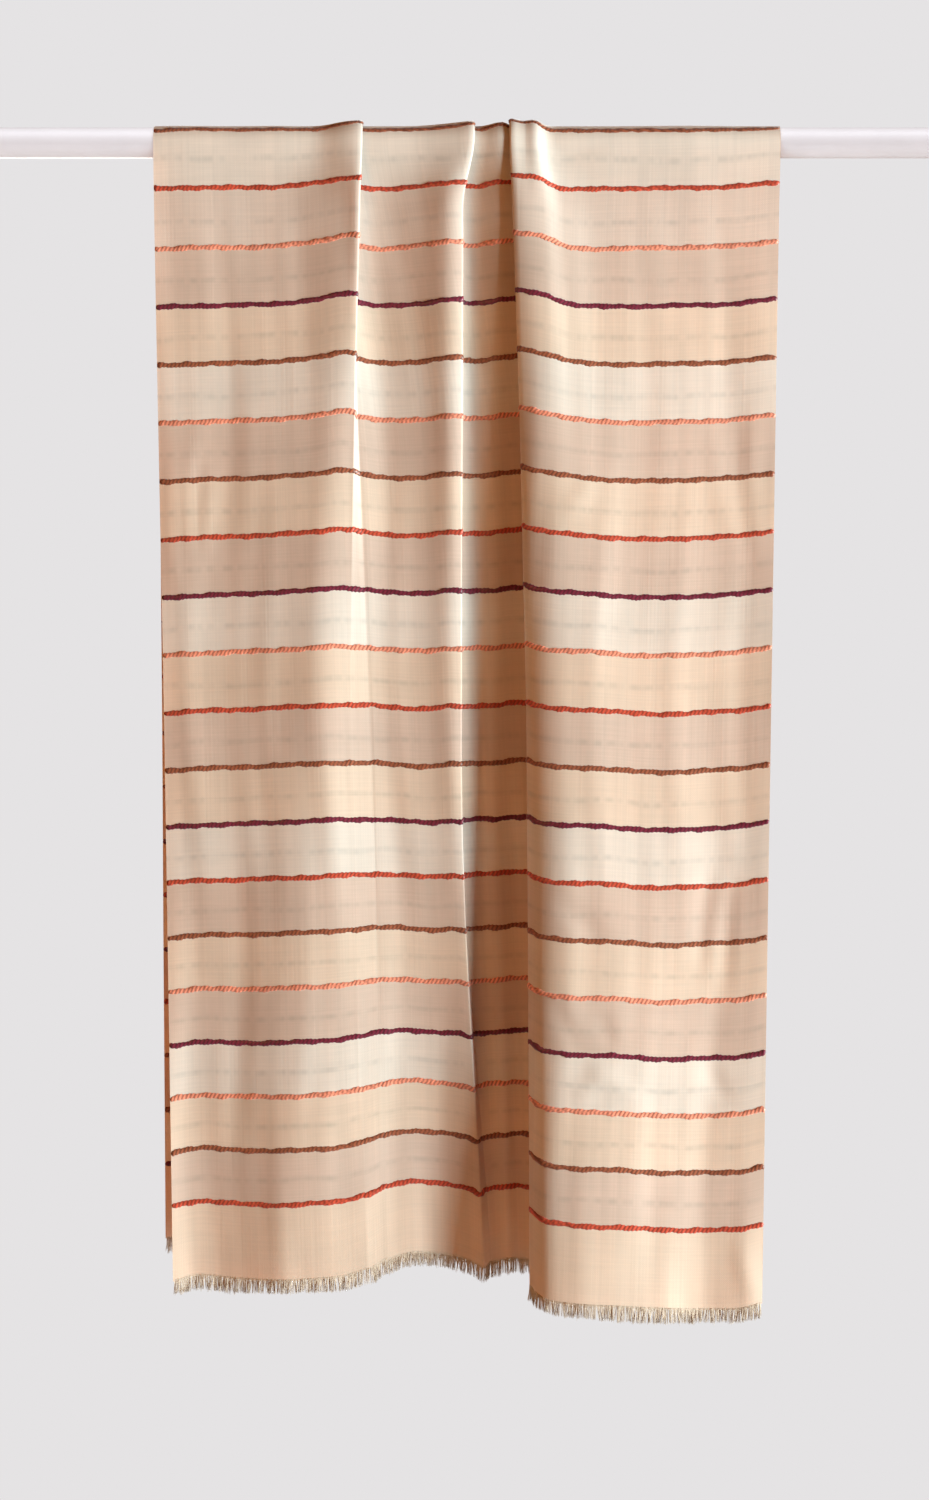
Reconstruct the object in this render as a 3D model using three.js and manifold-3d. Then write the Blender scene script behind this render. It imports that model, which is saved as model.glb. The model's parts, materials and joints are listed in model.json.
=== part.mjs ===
// A fine woven stole with a short fringe at both ends, hung over a round rod so that one half falls in front
// and the other half behind. Millimetres, +Z up, X along the rod, the front fall towards -Y. The origin is on
// the rod's axis, under the middle of the cloth.
//
// The cloth is described by its crease lines: the ridges, troughs and turned edges that run from the rod
// down to each hem. Between them it curves smoothly, and the wall is raised on both sides of that surface.
import * as THREE from "three";
import { mergeVertices } from "three/addons/utils/BufferGeometryUtils.js";
import Module from "manifold-3d";

// ---- Driving dimensions ----
const ROD = { diameter: 26, length: 860, chamfer: 1.2, sides: 40 };
const CLOTH = {
  wall: 1.0,
  restGap: 0.6, // between the rod and the cloth that lies on it
  turnRadius: 1.25, // of the cloth's middle round a turned edge
  linePitch: 49.2, // from one thick weft line to the next
  linesPerFall: 19, // on each side of the middle line
  hemBand: 68.2, // from the last thick line to the woven edge
  middleLineAhead: 11, // the middle line lies this far in front of the rod's crest
};
const SEAM = 0.3; // between two stretches of the cloth, and between hem and fringe
const FRINGE = {
  length: 12.5,
  strip: 2.2, // the height of the narrow strip that the strands are fused to
  strands: 90, // at each end of the cloth
  sides: 3,
  topRadius: 0.42,
  tipRadius: 0.2,
  lengthSpread: 0.9,
  lean: { sideways: 1.3, outwards: 0.5 }, // how far a strand's tip may stray
};
const BEND = { reach: 45, rowsOnRod: 8, rowsBelow: 2 }; // over the rod, and a little down each side
const FALL_ROWS = { front: 16, back: 11, easing: 1.35 }; // closer near the rod, where the pleats open
const COLUMN_WIDTH = 15; // the wall's columns are about this far apart

const WRAP_RADIUS = ROD.diameter / 2 + CLOTH.restGap + CLOTH.wall / 2;
const QUARTER_WRAP = (WRAP_RADIUS * Math.PI) / 2;
const HALF_LENGTH = CLOTH.linePitch * CLOTH.linesPerFall + CLOTH.hemBand;
const HEM = { front: HALF_LENGTH + CLOTH.middleLineAhead, back: HALF_LENGTH - CLOTH.middleLineAhead };

// ---- Crease lines, from the left selvedge to the right one ----
// x is the place along the rod's direction, out is how far the cloth stands off its flat hang, away from the
// rod, and lift is how far it is pulled up. Each is given on the rod and at three depths below its axis. At a
// turned edge the cloth doubles back on itself under the rod's pull, and lower down the fold opens.
const FRONT_DEPTHS = [0, 60, 520, 990];
const FRONT_CREASES = [
  //                      on the rod           60 mm down           520 mm down          at the hem
  // crease                x    out   lift      x    out   lift      x    out   lift      x    out   lift
  ["left selvedge",      [-269,  0.0,   0.0], [-268,  1.5,  -6.0], [-259,  2.0, -10.0], [-252,  1.5,  15.0]],
  ["left soft ridge",    [-244,  0.3,   1.5], [-240,  2.8,  -5.0], [-230,  4.5,  -8.0], [-230, -1.0,  20.0]],
  ["left shallow",       [-204,  0.0,   1.5], [-202,  3.0,  -5.0], [-198,  8.0,  -7.0], [-203,  2.5,  18.0]],
  ["left swell",         [-164,  0.3,   1.5], [-163,  4.2,  -4.0], [-159, 13.5,  -5.0], [-158, 11.5,  17.0]],
  ["left flank",         [-127,  0.3,   2.0], [-126,  8.5,   0.0], [-131, 17.3,  -4.0], [-128, 14.0,  19.0]],
  ["first pleat face",   [-106,  4.0,   4.0], [-104, 11.8,   4.0], [-116, 17.8,  -3.0], [-106, 13.0,  21.0]],
  ["first pleat edge",   [ -90,  3.6,   5.0], [ -92, 13.0,   4.5], [-100, 15.6,  -3.0], [ -85, 11.5,  27.0]],
  ["first pleat root",   [-107,  1.3,   2.0], [-103,  7.0,  -2.0], [ -82, 12.6,  -3.0], [ -68,  9.5,  35.0]],
  ["middle trough",      [ -83,  0.0,   1.0], [ -80,  2.0,  -6.0], [ -62, 11.5,  -4.5], [ -48,  6.5,  40.0]],
  ["middle swell",       [ -41,  0.3,   1.5], [ -42,  6.5,  -4.0], [ -34, 14.5,  -6.0], [ -18,  0.5,  38.0]],
  ["second pleat face",  [  -6,  3.6,   2.5], [ -15, 13.0,  -1.0], [ -13, 18.0,  -4.0], [   4,  1.5,  32.0]],
  ["second pleat edge",  [   6,  3.4,   3.5], [  -4, 10.5,  -0.5], [  -5, 17.0,  -4.5], [  14,  3.5,  27.0]],
  ["second pleat root",  [  -4,  1.2,   2.5], [  -8,  4.5,  -2.0], [  -7,  6.0,  -4.0], [  20,  0.5,  31.0]],
  ["gather trough",      [  12,  0.0,   2.0], [   6,  2.0,  -3.5], [  10,  1.5,  -3.0], [  28, -1.5,  33.0]],
  ["gather ridge",       [  30,  3.6,   4.0], [  27,  8.5,  -0.5], [  24,  3.0,  -3.0], [  36, -0.5,  34.0]],
  ["tuck trough",        [  39,  0.0,   3.0], [  39,  8.0,   0.0], [  39,  1.0,  -1.0], [  46, -3.0,  34.0]],
  ["tuck root",          [  56,  1.2,   5.0], [  69,  8.5,   4.0], [ 103,  8.0,  -2.0], [ 120,  6.0,  20.0]],
  ["tuck edge",          [  36,  5.4,   6.0], [  38, 14.5,   6.0], [  50, 24.5,   0.0], [  53, 33.0,  16.0]],
  ["tuck face",          [  48,  4.6,   5.0], [  49, 16.5,   5.0], [  58, 31.0,  -3.5], [  64, 46.5,   7.0]],
  ["tuck flank",         [  58,  5.4,   5.0], [  64, 16.0,   3.0], [  76, 36.5,  -6.5], [  90, 52.0,   3.0]],
  ["right slope",        [  69,  0.5,   1.0], [  82, 12.0,  -6.0], [ 110, 38.0,  -7.5], [ 130, 52.0,   1.0]],
  ["right shallow",      [ 122,  0.0,   0.5], [ 132,  9.0,  -6.5], [ 158, 36.5, -11.0], [ 165, 49.5,  -1.0]],
  ["right hollow",       [ 192,  0.4,   0.5], [ 191,  8.5,  -5.5], [ 200, 35.0,  -9.5], [ 200, 46.5,  -2.0]],
  ["right swell",        [ 232,  0.0,   1.5], [ 232,  8.0,  -4.0], [ 232, 35.5,  -7.5], [ 230, 48.5,  -1.0]],
  ["right selvedge",     [ 268,  0.0,   4.0], [ 266,  7.5,   0.0], [ 256, 38.0,  -3.5], [ 248, 48.5,   4.0]],
];

const BACK_DEPTHS = [0, 300, 970];
const BACK_CREASES = [
  // The same lines down the back, as they leave the rod, with x still counted along +X.
  //                      300 mm down          at the hem
  // crease                x    out   lift      x    out   lift
  ["left selvedge",      [-266,  6.0,  -3.0], [-262, 14.0,  24.0]],
  ["left soft ridge",    [-240, 10.0,  -4.0], [-238, 26.0,  22.0]],
  ["left shallow",       [-207,  3.0,  -5.0], [-209, 12.0,  18.0]],
  ["left swell",         [-166,  8.0,  -4.0], [-172, 27.0,  14.0]],
  ["left flank",         [-131,  3.0,  -3.0], [-134, 15.0,  14.0]],
  ["first pleat face",   [-107, 11.0,  -3.0], [-104, 27.0,  12.0]],
  ["first pleat edge",   [ -91, 14.0,  -2.0], [ -84, 31.0,  11.0]],
  ["first pleat root",   [ -93,  8.5,  -3.0], [ -66, 24.0,  12.0]],
  ["middle trough",      [ -72,  2.0,  -4.0], [ -47, 13.0,  16.0]],
  ["middle swell",       [ -40,  8.0,  -4.0], [ -27, 28.0,  14.0]],
  ["second pleat face",  [ -13, 12.0,  -4.0], [  -3, 30.0,  12.0]],
  ["second pleat edge",  [   0, 15.0,  -3.0], [  12, 32.0,  11.0]],
  ["second pleat root",  [   1,  8.0,  -4.0], [  22, 22.0,  13.0]],
  ["gather trough",      [  12,  2.0,  -4.0], [  31, 12.0,  16.0]],
  ["gather ridge",       [  26,  8.0,  -4.0], [  44, 20.0,  14.0]],
  ["tuck trough",        [  38,  1.0,  -4.0], [  58, 10.0,  16.0]],
  ["tuck root",          [  84,  6.0,  -3.0], [ 116, 15.0,  12.0]],
  ["tuck edge",          [  41, 16.0,  -4.0], [  52, 27.0,  10.0]],
  ["tuck face",          [  54, 22.0,  -5.0], [  72, 38.0,   8.0]],
  ["tuck flank",         [  73, 19.0,  -5.0], [ 102, 36.0,   8.0]],
  ["right slope",        [  97, 10.0,  -5.0], [ 138, 26.0,  10.0]],
  ["right shallow",      [ 140,  5.0,  -5.0], [ 168, 18.0,  12.0]],
  ["right hollow",       [ 189, 12.0,  -4.0], [ 197, 30.0,  12.0]],
  ["right swell",        [ 224,  5.0,  -4.0], [ 221, 16.0,  14.0]],
  ["right selvedge",     [ 256,  9.0,  -2.0], [ 242, 22.0,  18.0]],
];

const TURNED_EDGES = [
  "first pleat edge", "first pleat root", "second pleat edge", "second pleat root", "tuck root", "tuck edge",
];

// ---- The cloth's middle surface ----

// The value at depth of a smooth curve through values at the given depths, level above the first.
function alongFall(depths, values, depth) {
  if (depth <= depths[0]) return values[0];
  const last = depths.length - 1;
  const i = Math.min(
    depths.findLastIndex((d) => d <= depth),
    last - 1,
  );
  const slope = (k) => (values[k + 1] - values[k]) / (depths[k + 1] - depths[k]);
  const tangent = (k) => {
    if (k === 0) return 0;
    if (k === last) return slope(last - 1);
    const [before, after] = [slope(k - 1), slope(k)];
    return before * after <= 0 ? 0 : (2 * before * after) / (before + after);
  };
  const step = depths[i + 1] - depths[i];
  const f = Math.min((depth - depths[i]) / step, 1);
  const [f2, f3] = [f * f, f * f * f];
  return (
    (2 * f3 - 3 * f2 + 1) * values[i] +
    (f3 - 2 * f2 + f) * step * tangent(i) +
    (3 * f2 - 2 * f3) * values[i + 1] +
    (f3 - f2) * step * tangent(i + 1)
  );
}

// Each crease line's places down one fall. The back starts from the front's places on the rod, and what is
// pulled up in front there has come over from the back.
function creasePlaces(side) {
  return FRONT_CREASES.map(([, onRod, ...frontPlaces], i) => {
    if (side === "front") return [onRod, ...frontPlaces];
    const [, ...backPlaces] = BACK_CREASES[i];
    const [x, out, lift] = onRod;
    return [[x, out, -lift], ...backPlaces];
  });
}
const PLACES = { front: creasePlaces("front"), back: creasePlaces("back") };
const DEPTHS = { front: FRONT_DEPTHS, back: BACK_DEPTHS };

// The points that the curve across the cloth goes through at a depth, as (x, out, lift). A turned edge has
// three of them, so that the cloth goes round it in an arc: the tighter the turn, the further they stand in.
function curvePoints(side, depth) {
  const creases = PLACES[side].map((places) => {
    const [x, out, lift] = [0, 1, 2].map((n) => alongFall(DEPTHS[side], places.map((p) => p[n]), depth));
    return new THREE.Vector3(x, out, lift);
  });
  return creases.flatMap((point, i) => {
    if (!TURNED_EDGES.includes(FRONT_CREASES[i][0])) return [point];
    const arriving = point.clone().sub(creases[i - 1]).setZ(0).normalize();
    const leaving = creases[i + 1].clone().sub(point).setZ(0).normalize();
    const onward = arriving.clone().add(leaving).setLength(CLOTH.turnRadius);
    const inward = leaving.clone().sub(arriving).multiplyScalar(CLOTH.turnRadius / 2);
    return [point.clone().sub(onward).add(inward), point, point.clone().add(onward).add(inward)];
  });
}

// The curve across the cloth at a distance from the rod's crest.
const crossCurves = new Map();
function crossCurve(side, distance) {
  const key = side + distance.toFixed(4);
  if (!crossCurves.has(key)) {
    const points = curvePoints(side, distance - QUARTER_WRAP);
    crossCurves.set(key, new THREE.CatmullRomCurve3(points, false, "centripetal"));
  }
  return crossCurves.get(key);
}

// A point of the middle surface. across counts the curve's points from the left selvedge, along is the
// distance from the rod's crest over the cloth, positive down the front.
const SPANS = FRONT_CREASES.length + 2 * TURNED_EDGES.length - 1;
function clothPoint(across, along) {
  const side = along >= 0 ? "front" : "back";
  const forward = along >= 0 ? -1 : 1;
  const { x, y: drawnOut, z: lift } = crossCurve(side, Math.abs(along)).getPoint(across / SPANS);
  const hang = Math.abs(along) - lift;
  const deepestSink = Math.min(0, (QUARTER_WRAP + ROD.diameter - hang) / 10); // none beside the rod
  const radius = WRAP_RADIUS + Math.max(drawnOut, deepestSink);
  if (hang < QUARTER_WRAP) {
    const angle = hang / WRAP_RADIUS;
    return new THREE.Vector3(x, forward * radius * Math.sin(angle), radius * Math.cos(angle));
  }
  return new THREE.Vector3(x, forward * radius, QUARTER_WRAP - hang);
}

// The surface's outward direction at a point, from its neighbours a small step away.
const NEAR = { across: 0.02, along: 0.2 };
function clothNormal(across, along) {
  const right = clothPoint(Math.min(across + NEAR.across, SPANS), along);
  const left = clothPoint(Math.max(across - NEAR.across, 0), along);
  const ahead = clothPoint(across, along + NEAR.along);
  const behind = clothPoint(across, along - NEAR.along);
  return ahead.sub(behind).cross(right.sub(left)).normalize();
}

// The wall's columns: one at each of the curve's points, and more where these lie far apart.
const COLUMNS = Array.from({ length: SPANS }, (_, i) => {
  const width = clothPoint(i, HEM.front / 2).distanceTo(clothPoint(i + 1, HEM.front / 2));
  const count = Math.max(1, Math.round(width / COLUMN_WIDTH));
  return Array.from({ length: count }, (_, k) => i + k / count);
})
  .flat()
  .concat(SPANS);

// A point of the faceted wall's middle, on the straight between two columns.
function wallPoint(across, along) {
  const k = Math.max(1, COLUMNS.findIndex((column) => column >= across));
  const share = (across - COLUMNS[k - 1]) / (COLUMNS[k] - COLUMNS[k - 1]);
  return clothPoint(COLUMNS[k - 1], along).lerp(clothPoint(COLUMNS[k], along), share);
}

// ---- Solids ----

// A closed wall over the given rows (distances over the cloth), with the cloth's thickness.
function clothWall(rows) {
  const positions = [];
  for (const layer of [1, -1]) {
    for (const along of rows) {
      for (const across of COLUMNS) {
        const point = clothPoint(across, along).addScaledVector(
          clothNormal(across, along),
          (layer * CLOTH.wall) / 2,
        );
        positions.push(point.x, point.y, point.z);
      }
    }
  }
  const [nr, nc] = [rows.length, COLUMNS.length];
  const at = (layer, r, c) => layer * nr * nc + r * nc + c;
  const index = [];
  const quad = (a, b, c, d) => index.push(a, b, c, a, c, d);
  for (let r = 0; r < nr - 1; r++) {
    for (let c = 0; c < nc - 1; c++) {
      quad(at(0, r, c), at(0, r + 1, c), at(0, r + 1, c + 1), at(0, r, c + 1));
      quad(at(1, r, c), at(1, r, c + 1), at(1, r + 1, c + 1), at(1, r + 1, c));
    }
  }
  for (let r = 0; r < nr - 1; r++) {
    quad(at(0, r, 0), at(1, r, 0), at(1, r + 1, 0), at(0, r + 1, 0));
    quad(at(0, r, nc - 1), at(0, r + 1, nc - 1), at(1, r + 1, nc - 1), at(1, r, nc - 1));
  }
  for (let c = 0; c < nc - 1; c++) {
    quad(at(0, 0, c), at(0, 0, c + 1), at(1, 0, c + 1), at(1, 0, c));
    quad(at(0, nr - 1, c), at(1, nr - 1, c), at(1, nr - 1, c + 1), at(0, nr - 1, c + 1));
  }
  return new THREE.BufferGeometry()
    .setAttribute("position", new THREE.BufferAttribute(new Float32Array(positions), 3))
    .setIndex(index);
}

// Distances from start to end, growing evenly, in count steps.
const spaced = (start, end, count) =>
  Array.from({ length: count + 1 }, (_, k) => start + ((end - start) * k) / count);

// Rows down a fall, from the stretch over the rod to the hem.
function fallRows(side) {
  const start = BEND.reach + SEAM;
  return spaced(0, 1, FALL_ROWS[side]).map((f) => start + (HEM[side] - start) * f ** FALL_ROWS.easing);
}

// Rows always run from the back hem towards the front hem, so that every wall faces the same way.
const towardsFront = (rows) => [...rows].sort((a, b) => a - b);

const wasm = await Module();
wasm.setup();

function toManifold(geometry) {
  const bare = geometry.clone();
  bare.deleteAttribute("normal");
  bare.deleteAttribute("uv");
  const merged = mergeVertices(bare, 1e-4);
  return new wasm.Manifold(
    new wasm.Mesh({
      numProp: 3,
      vertProperties: merged.attributes.position.array,
      triVerts: new Uint32Array(merged.index.array),
    }),
  );
}

function toGeometry(manifold) {
  const { vertProperties, triVerts } = manifold.getMesh();
  return new THREE.BufferGeometry()
    .setAttribute("position", new THREE.BufferAttribute(new Float32Array(vertProperties), 3))
    .setIndex(new THREE.BufferAttribute(triVerts, 1));
}

// A repeatable number from -1 to 1 for a strand, another for each seed.
const wobble = (n, seed) => Math.sin(n * 12.9898 + seed * 78.233) * Math.cos(n * 4.1414 + seed);

// The places of the strands: evenly over the cloth, measured round its folds at the hem.
function strandPlaces(along) {
  const fine = spaced(0, SPANS, SPANS * 10);
  const lengths = [0];
  fine.slice(1).forEach((across, k) => {
    const run = wallPoint(across, along).distanceTo(wallPoint(fine[k], along));
    lengths.push(lengths[k] + run);
  });
  const total = lengths.at(-1);
  return spaced(0.004, 0.996, FRINGE.strands - 1).map((share) => {
    const k = lengths.findIndex((length) => length >= share * total);
    const part = (share * total - lengths[k - 1]) / (lengths[k] - lengths[k - 1]);
    return fine[k - 1] + part * (fine[k] - fine[k - 1]);
  });
}

// One strand: a slim tapered lock that hangs from inside the strip.
function strand(across, along, number) {
  const forward = Math.sign(along);
  const root = wallPoint(across, along);
  const tip = root.clone();
  tip.x += FRINGE.lean.sideways * wobble(number, 2);
  tip.y += FRINGE.lean.outwards * wobble(number, 3) * forward;
  tip.z -= FRINGE.length - FRINGE.strip / 2 + FRINGE.lengthSpread * wobble(number, 1);
  const way = new THREE.Vector3().subVectors(root, tip);
  const lock = new THREE.CylinderGeometry(FRINGE.topRadius, FRINGE.tipRadius, way.length(), FRINGE.sides, 1);
  const turn = new THREE.Quaternion().setFromUnitVectors(new THREE.Vector3(0, 1, 0), way.normalize());
  lock.applyQuaternion(turn);
  const middle = root.add(tip).multiplyScalar(0.5);
  return lock.translate(middle.x, middle.y, middle.z);
}

// The fringe of one end: a narrow strip below the woven edge, with its strands fused to it.
function fringe(side) {
  const way = side === "front" ? 1 : -1;
  const top = HEM[side] + SEAM;
  const bottom = top + FRINGE.strip;
  const strip = toManifold(clothWall(towardsFront([way * top, way * bottom])));
  const rootLine = way * (top + FRINGE.strip / 2);
  const locks = strandPlaces(rootLine).map((across, n) => toManifold(strand(across, rootLine, n)));
  return toGeometry(wasm.Manifold.union([strip, ...locks]));
}

function rod() {
  const [radius, half, chamfer] = [ROD.diameter / 2, ROD.length / 2, ROD.chamfer];
  const profile = [
    new THREE.Vector2(0, -half),
    new THREE.Vector2(radius - chamfer, -half),
    new THREE.Vector2(radius, -half + chamfer),
    new THREE.Vector2(radius, half - chamfer),
    new THREE.Vector2(radius - chamfer, half),
    new THREE.Vector2(0, half),
  ];
  return toGeometry(toManifold(new THREE.LatheGeometry(profile, ROD.sides).rotateZ(-Math.PI / 2)));
}

// ---- The object ----
const finishes = {
  cloth: new THREE.MeshStandardMaterial({ color: 0xdcc3a6, roughness: 0.72, metalness: 0 }),
  fringe: new THREE.MeshStandardMaterial({ color: 0xd9c9b2, roughness: 0.85, metalness: 0 }),
  rod: new THREE.MeshStandardMaterial({ color: 0xf2f2f3, roughness: 0.35, metalness: 0 }),
};

function named(name, geometry, finish) {
  const mesh = new THREE.Mesh(geometry, finishes[finish]);
  mesh.name = name;
  return mesh;
}

const halfBend = [
  ...spaced(0, QUARTER_WRAP, BEND.rowsOnRod / 2),
  ...spaced(QUARTER_WRAP, BEND.reach, BEND.rowsBelow).slice(1),
];
const bendRows = [...halfBend, ...halfBend.slice(1).map((distance) => -distance)];
const frontRows = fallRows("front");
const backRows = fallRows("back").map((distance) => -distance);

const stoleOnRod = new THREE.Group();
stoleOnRod.add(
  named("rod", rod(), "rod"),
  named("stole_over_rod", clothWall(towardsFront(bendRows)), "cloth"),
  named("stole_front_fall", clothWall(towardsFront(frontRows)), "cloth"),
  named("stole_back_fall", clothWall(towardsFront(backRows)), "cloth"),
  named("fringe_front", fringe("front"), "fringe"),
  named("fringe_back", fringe("back"), "fringe"),
);

export default stoleOnRod;
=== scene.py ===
"""A fine woven stole hung half and half over a round white rod, striped across with thick twisted yarns.

The part's frame carries the rod and the solids of the cloth. This add-on hangs the thin cloth on the same
crease lines, lays the yarns into it, cuts the fringe, paints the rod and sets the studio. Tables and sizes of
the cloth are in millimetres, as on the part's drawing, and meshes are in metres.
"""

import json

import bpy
import numpy as np
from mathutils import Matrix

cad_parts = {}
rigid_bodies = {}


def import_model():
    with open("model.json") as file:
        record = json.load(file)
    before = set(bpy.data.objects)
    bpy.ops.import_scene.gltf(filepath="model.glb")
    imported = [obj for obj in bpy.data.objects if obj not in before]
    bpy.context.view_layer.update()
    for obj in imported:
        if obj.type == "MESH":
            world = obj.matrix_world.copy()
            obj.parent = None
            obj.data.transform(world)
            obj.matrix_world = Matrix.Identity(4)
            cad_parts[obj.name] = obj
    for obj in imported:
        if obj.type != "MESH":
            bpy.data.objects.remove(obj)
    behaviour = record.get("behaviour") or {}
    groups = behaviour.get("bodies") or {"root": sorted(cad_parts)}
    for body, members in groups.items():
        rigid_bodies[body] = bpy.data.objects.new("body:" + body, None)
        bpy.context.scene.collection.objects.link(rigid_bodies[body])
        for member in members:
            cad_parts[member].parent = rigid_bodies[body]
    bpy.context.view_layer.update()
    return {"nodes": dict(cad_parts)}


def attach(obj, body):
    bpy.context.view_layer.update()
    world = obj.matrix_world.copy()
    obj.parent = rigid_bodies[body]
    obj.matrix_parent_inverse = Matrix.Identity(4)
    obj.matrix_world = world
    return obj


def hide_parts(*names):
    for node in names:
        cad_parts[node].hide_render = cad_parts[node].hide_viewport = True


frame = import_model()

bl_info = {
    "name": "Stole on a rod",
    "version": (1, 0, 0),
    "blender": (4, 5, 0),
    "location": "3D View > Sidebar > Stole",
    "description": "Hangs a striped woven stole over a white rod, with its yarns, fringe and studio",
    "category": "Object",
}

MM = 0.001
BODY = "root"

# ---- The part's sizes, in millimetres ----
ROD_DIAMETER = 26.0
WALL = 1.0  # of the part's cloth
REST_GAP = 0.6  # between the rod and that wall
TURN_RADIUS = 1.25  # of the cloth's middle round a turned edge
LINE_PITCH = 49.2  # from one thick yarn to the next
LINES_PER_FALL = 19
HEM_BAND = 68.2  # from the last thick yarn to the woven edge
MIDDLE_LINE_AHEAD = 11.0  # the middle of the cloth's length lies this far in front of the rod's crest
MIDDLE_YARN_SLIP = 2.0  # and the middle yarn this much further down
CLOTH_WIDTH = 660.0
CLOTH_LENGTH = 2 * (LINE_PITCH * LINES_PER_FALL + HEM_BAND)

WRAP_RADIUS = ROD_DIAMETER / 2 + REST_GAP + WALL / 2
QUARTER_WRAP = WRAP_RADIUS * np.pi / 2
FRONT_HEM = CLOTH_LENGTH / 2 + MIDDLE_LINE_AHEAD
BACK_HEM = CLOTH_LENGTH / 2 - MIDDLE_LINE_AHEAD

# ---- Crease lines, from the left selvedge to the right one ----
# x is the place along the rod, out is how far the cloth stands off its flat hang, and lift is how far it is
# pulled up. At a turned edge the cloth doubles back on itself.
FRONT_DEPTHS = [0, 60, 520, 990]
FRONT_CREASES = [
    #                      on the rod           60 mm down           520 mm down          at the hem
    # crease                x    out   lift      x    out   lift      x    out   lift      x    out   lift
    ("left selvedge",     [-269,  0.0,   0.0], [-268,  1.5,  -6.0], [-259,  2.0, -10.0], [-252,  1.5,  15.0]),
    ("left soft ridge",   [-244,  0.3,   1.5], [-240,  2.8,  -5.0], [-230,  4.5,  -8.0], [-230, -1.0,  20.0]),
    ("left shallow",      [-204,  0.0,   1.5], [-202,  3.0,  -5.0], [-198,  8.0,  -7.0], [-203,  2.5,  18.0]),
    ("left swell",        [-164,  0.3,   1.5], [-163,  4.2,  -4.0], [-159, 13.5,  -5.0], [-158, 11.5,  17.0]),
    ("left flank",        [-127,  0.3,   2.0], [-126,  8.5,   0.0], [-131, 17.3,  -4.0], [-128, 14.0,  19.0]),
    ("first pleat face",  [-106,  4.0,   4.0], [-104, 11.8,   4.0], [-116, 17.8,  -3.0], [-106, 13.0,  21.0]),
    ("first pleat edge",  [ -90,  3.6,   5.0], [ -92, 13.0,   4.5], [-100, 15.6,  -3.0], [ -85, 11.5,  27.0]),
    ("first pleat root",  [-107,  1.3,   2.0], [-103,  7.0,  -2.0], [ -82, 12.6,  -3.0], [ -68,  9.5,  35.0]),
    ("middle trough",     [ -83,  0.0,   1.0], [ -80,  2.0,  -6.0], [ -62, 11.5,  -4.5], [ -48,  6.5,  40.0]),
    ("middle swell",      [ -41,  0.3,   1.5], [ -42,  6.5,  -4.0], [ -34, 14.5,  -6.0], [ -18,  0.5,  38.0]),
    ("second pleat face", [  -6,  3.6,   2.5], [ -15, 13.0,  -1.0], [ -13, 18.0,  -4.0], [   4,  1.5,  32.0]),
    ("second pleat edge", [   6,  3.4,   3.5], [  -4, 10.5,  -0.5], [  -5, 17.0,  -4.5], [  14,  3.5,  27.0]),
    ("second pleat root", [  -4,  1.2,   2.5], [  -8,  4.5,  -2.0], [  -7,  6.0,  -4.0], [  20,  0.5,  31.0]),
    ("gather trough",     [  12,  0.0,   2.0], [   6,  2.0,  -3.5], [  10,  1.5,  -3.0], [  28, -1.5,  33.0]),
    ("gather ridge",      [  30,  3.6,   4.0], [  27,  8.5,  -0.5], [  24,  3.0,  -3.0], [  36, -0.5,  34.0]),
    ("tuck trough",       [  39,  0.0,   3.0], [  39,  8.0,   0.0], [  39,  1.0,  -1.0], [  46, -3.0,  34.0]),
    ("tuck root",         [  56,  1.2,   5.0], [  69,  8.5,   4.0], [ 103,  8.0,  -2.0], [ 120,  6.0,  20.0]),
    ("tuck edge",         [  36,  5.4,   6.0], [  38, 14.5,   6.0], [  50, 24.5,   0.0], [  53, 33.0,  16.0]),
    ("tuck face",         [  48,  4.6,   5.0], [  49, 16.5,   5.0], [  58, 31.0,  -3.5], [  64, 46.5,   7.0]),
    ("tuck flank",        [  58,  5.4,   5.0], [  64, 16.0,   3.0], [  76, 36.5,  -6.5], [  90, 52.0,   3.0]),
    ("right slope",       [  69,  0.5,   1.0], [  82, 12.0,  -6.0], [ 110, 38.0,  -7.5], [ 130, 52.0,   1.0]),
    ("right shallow",     [ 122,  0.0,   0.5], [ 132,  9.0,  -6.5], [ 158, 36.5, -11.0], [ 165, 49.5,  -1.0]),
    ("right hollow",      [ 192,  0.4,   0.5], [ 191,  8.5,  -5.5], [ 200, 35.0,  -9.5], [ 200, 46.5,  -2.0]),
    ("right swell",       [ 232,  0.0,   1.5], [ 232,  8.0,  -4.0], [ 232, 35.5,  -7.5], [ 230, 48.5,  -1.0]),
    ("right selvedge",    [ 268,  0.0,   4.0], [ 266,  7.5,   0.0], [ 256, 38.0,  -3.5], [ 248, 48.5,   4.0]),
]
BACK_DEPTHS = [0, 300, 970]
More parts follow.
